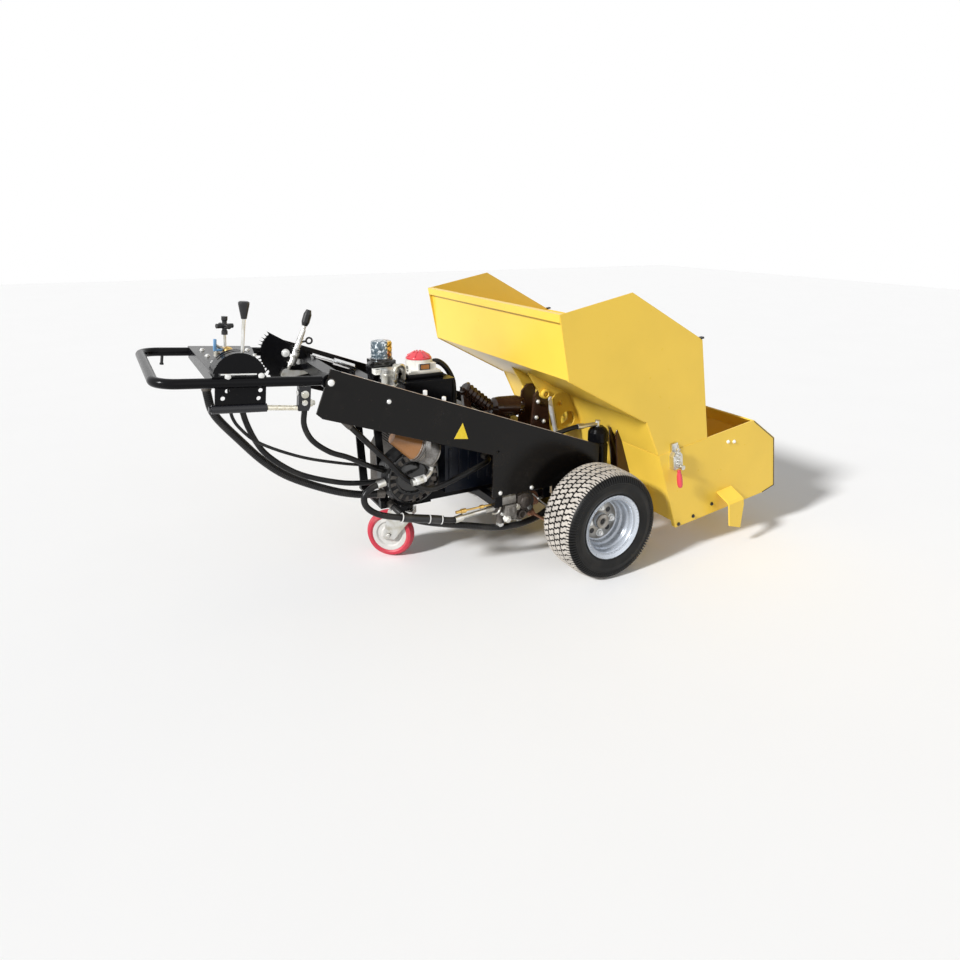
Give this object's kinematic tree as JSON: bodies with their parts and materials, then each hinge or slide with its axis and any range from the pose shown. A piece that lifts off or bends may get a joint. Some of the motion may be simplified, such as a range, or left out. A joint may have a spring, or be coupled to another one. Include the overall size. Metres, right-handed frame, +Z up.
{
  "type": "asphalt paver",
  "caption": "Walk-behind asphalt paver: U-shaped handlebar, black side-plate chassis on turf tyres and a swivel caster, with a yellow hopper, chute and spreader box.",
  "frame": {"origin": "middle of the bounding box, on the ground", "axes": "+X from the handlebar to the hopper, +Y to the machine's left, +Z up"},
  "size_m": [2.3347, 1.152, 1.0472],
  "materials": {
    "yellow_paint": "gloss",
    "black_paint": "satin",
    "zinc": "zinc plated",
    "rim_silver": "silver paint",
    "tyre": "matte",
    "red_polyurethane": "matte",
    "grey_nylon": "matte",
    "hose": "satin",
    "black_plastic": "satin",
    "brass": "polished",
    "cast": "cast",
    "brown_paint": "worn",
    "white_plastic": "gloss",
    "red_plastic": "gloss",
    "clear": "clear",
    "amber": "clear",
    "engine_blue": "worn"
  },
  "bodies": {
    "chassis": {"side_plate_right": "black_paint", "side_plate_left": "black_paint", "frame_tray": "black_paint", "cross_members": "black_paint", "caster_mount": "black_paint", "hinge_ears": "black_paint", "wheel_motors": "cast", "engine": "cast", "drive_case": "engine_blue", "oil_filter": "cast", "fan_housing": "black_plastic", "muffler": "brown_paint", "oil_tank": "black_paint", "tank_filter": "white_plastic", "filter_cap": "red_plastic", "sight_window": "amber", "clear_cup": "clear", "cup_block": "black_plastic", "air_cleaner": "brown_paint", "pump_block": "cast", "pipe_fittings": "zinc", "toothed_sector": "black_paint", "latch_lever": "zinc", "latch_grip": "black_plastic", "gas_strut": "zinc", "lift_cylinders": "black_paint", "lift_rod": "zinc", "hose_droop_a": "hose", "hose_droop_b": "hose", "hose_thin": "hose", "hose_cross": "hose", "hose_pump": "hose", "hose_loop": "hose", "hose_top": "hose", "hose_lift": "hose", "hose_low": "hose"},
    "handle": {"handlebar": "black_paint", "console": "black_paint", "control_levers": "zinc", "lever_knobs": "black_plastic", "control_valve": "brass", "tilt_strut": "zinc"},
    "wheel_right": {"rim_right": "rim_silver", "tyre_right": "tyre"},
    "wheel_left": {"rim_left": "rim_silver", "tyre_left": "tyre"},
    "caster_fork": {"caster_fork": "zinc"},
    "caster_wheel": {"caster_wheel": "grey_nylon", "caster_tread": "red_polyurethane"},
    "paving_unit": {"hopper_sides": "yellow_paint", "hopper_back": "yellow_paint", "tower_front": "yellow_paint", "box_sides": "yellow_paint", "box_back": "yellow_paint", "box_front": "yellow_paint", "side_feet": "yellow_paint", "clamps": "zinc", "clamp_grips": "red_plastic", "hinge_arms": "yellow_paint", "wall_brackets": "black_paint"}
  },
  "joints": [
    {"name": "wheel_right_spin", "type": "hinge", "parent": "chassis", "child": "wheel_right", "pos_m": [0.285, -0.455, 0.204], "axis": [0, 1, 0], "continuous": true},
    {"name": "wheel_left_spin", "type": "hinge", "parent": "chassis", "child": "wheel_left", "pos_m": [0.285, 0.455, 0.204], "axis": [0, 1, 0], "continuous": true},
    {"name": "caster_swivel", "type": "hinge", "parent": "chassis", "child": "caster_fork", "pos_m": [-0.303, 0, 0.2], "axis": [0, 0, 1], "continuous": true},
    {"name": "caster_spin", "type": "hinge", "parent": "caster_fork", "child": "caster_wheel", "pos_m": [-0.34634, 0.03386, 0.093], "axis": [0.6157, 0.788, 0], "continuous": true},
    {"name": "handle_tilt", "type": "hinge", "parent": "chassis", "child": "handle", "pos_m": [-0.666, 0, 0.79401], "axis": [0, 1, 0], "range_deg": [-20, 20], "deforming": ["hose_droop_a", "hose_droop_b", "hose_thin", "hose_cross"]},
    {"name": "unit_lift", "type": "hinge", "parent": "chassis", "child": "paving_unit", "pos_m": [0.29, 0, 0.598], "axis": [0, 1, 0], "range_deg": [0, 6]}
  ]
}
